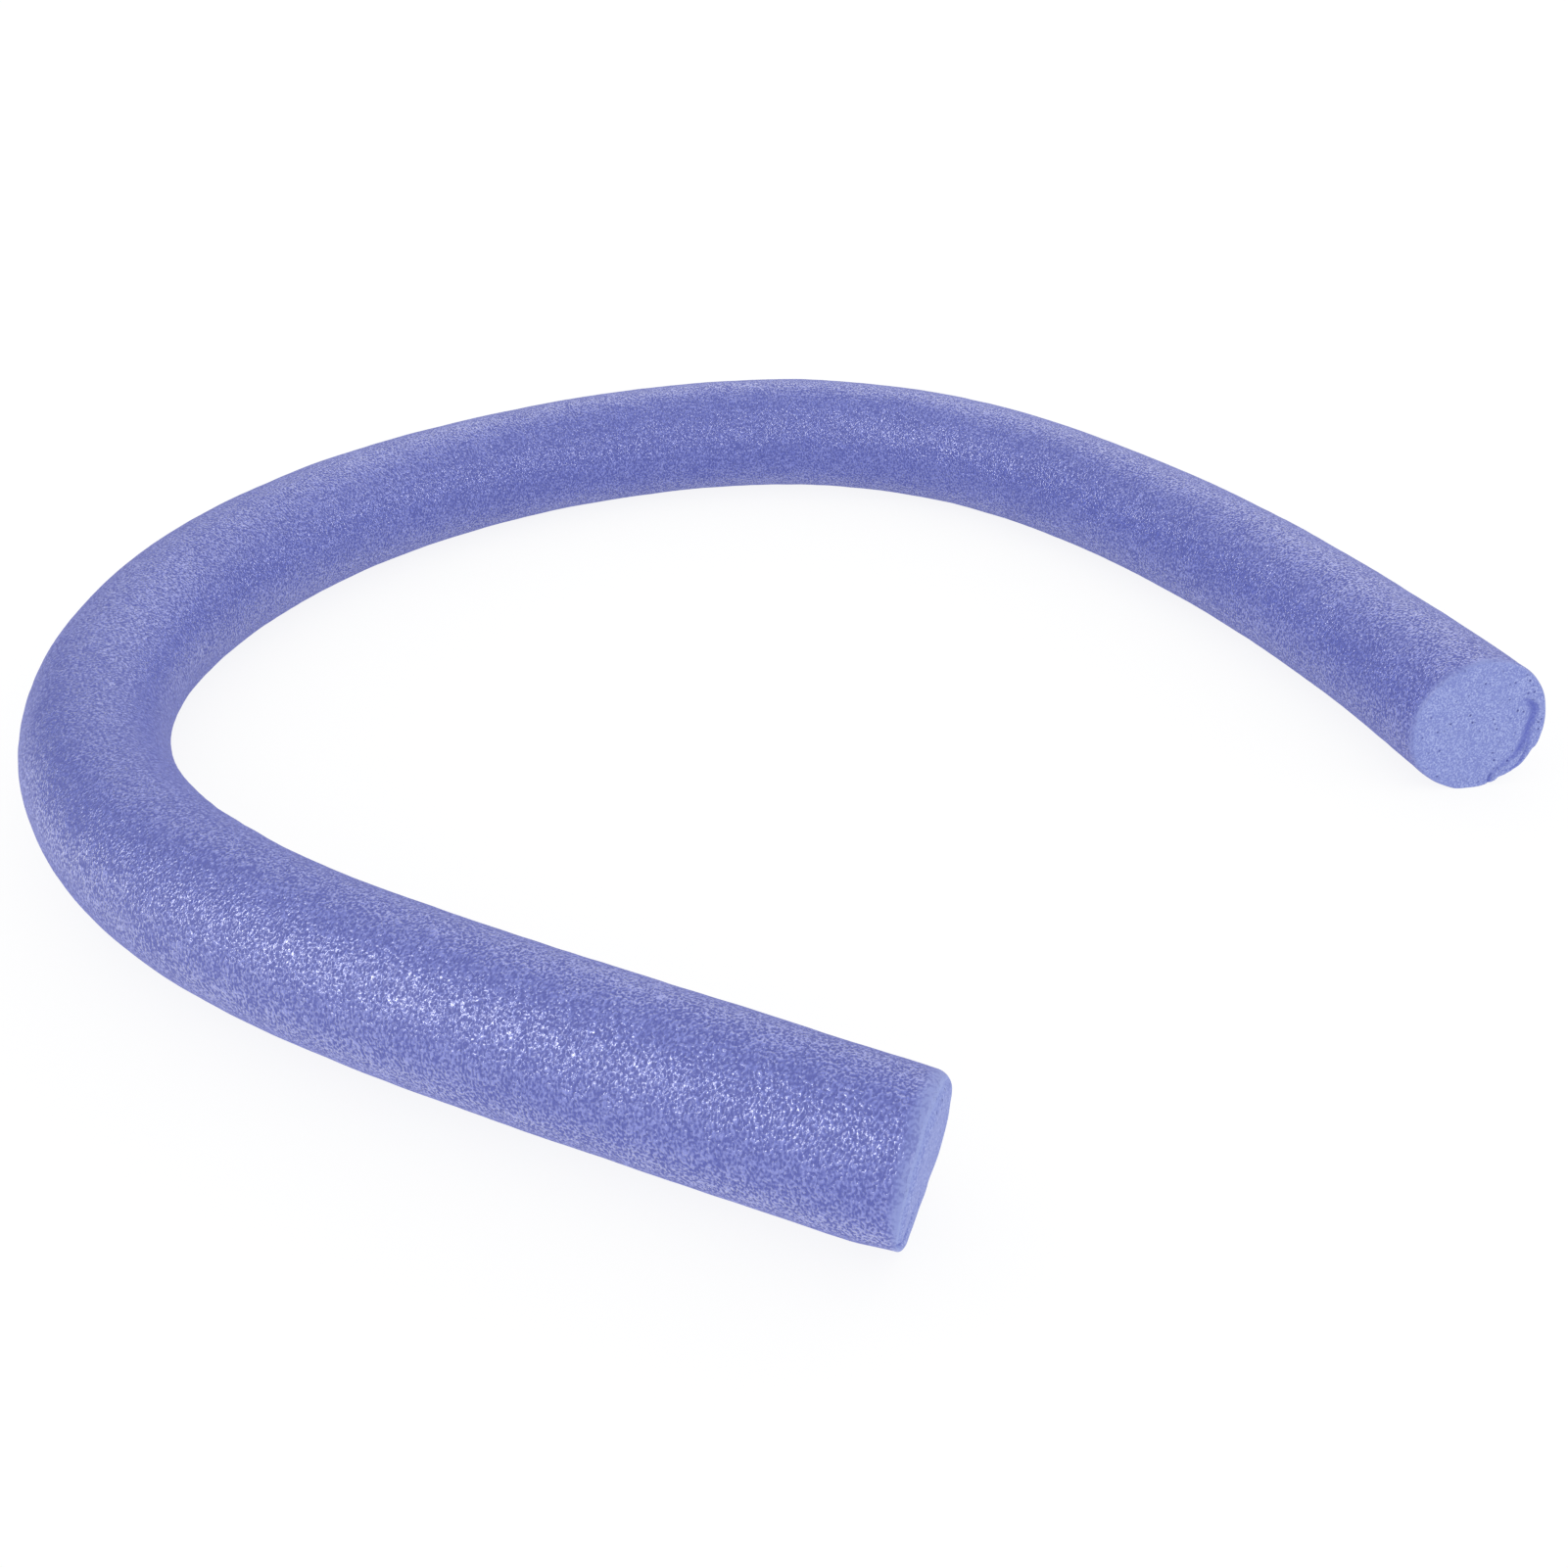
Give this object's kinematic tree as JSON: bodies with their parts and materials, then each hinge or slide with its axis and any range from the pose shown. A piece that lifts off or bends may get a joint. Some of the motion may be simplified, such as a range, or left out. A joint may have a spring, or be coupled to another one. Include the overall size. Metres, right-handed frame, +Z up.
{
  "type": "pool noodle",
  "caption": "Solid foam pool noodle in periwinkle blue, bent into a wide hook and lying flat, with plain hand-cut ends.",
  "frame": {"origin": "middle of the noodle's box, on the ground that it lies on", "axes": "+Z up; +X to the right and +Y away from someone who looks at the hook from its front arm, so that the hook opens towards +X and -Y"},
  "size_m": [0.68, 0.6904, 0.0637],
  "materials": {
    "foam": "extruded closed-cell polyethylene foam with a crinkled, slightly glossy skin; the cut ends are paler and matte, with fine open cells"
  },
  "bodies": {
    "root": {"foam_noodle": "foam"}
  },
  "joints": []
}
